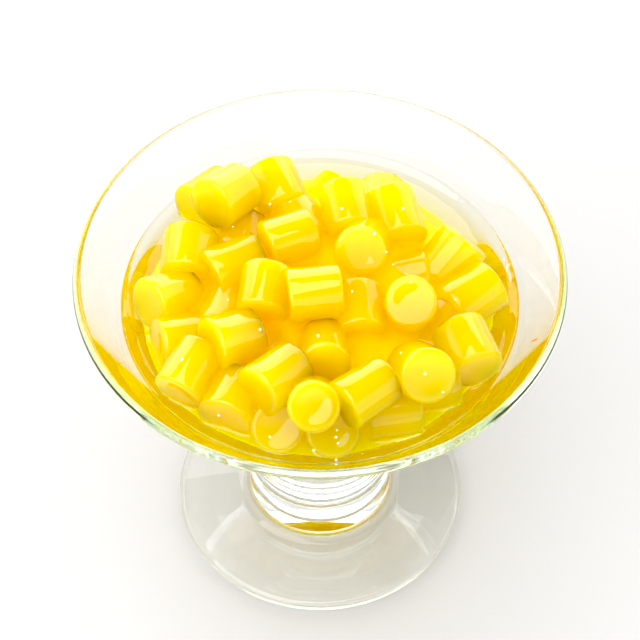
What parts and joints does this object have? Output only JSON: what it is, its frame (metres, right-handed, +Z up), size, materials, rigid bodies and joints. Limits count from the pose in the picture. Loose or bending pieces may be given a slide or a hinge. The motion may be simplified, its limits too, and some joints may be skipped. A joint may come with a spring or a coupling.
{
  "type": "moulded jelly in a glass dish",
  "caption": "Footed glass dessert dish heaped with small cylindrical pieces of yellow moulded jelly that stand in clear yellow syrup.",
  "frame": {"origin": "centre of the foot on the surface that the dish stands on", "axes": "+Z up along the dish's axis; -Y towards the viewer of the picture; +X to the viewer's right"},
  "size_m": [0.115, 0.115, 0.103],
  "materials": {
    "glass": "clear and polished",
    "syrup": "clear yellow liquid",
    "jelly": "wet, translucent and glossy"
  },
  "bodies": {
    "root": {"dish": "glass", "syrup": "syrup", "jelly_heap": "jelly"}
  },
  "joints": []
}
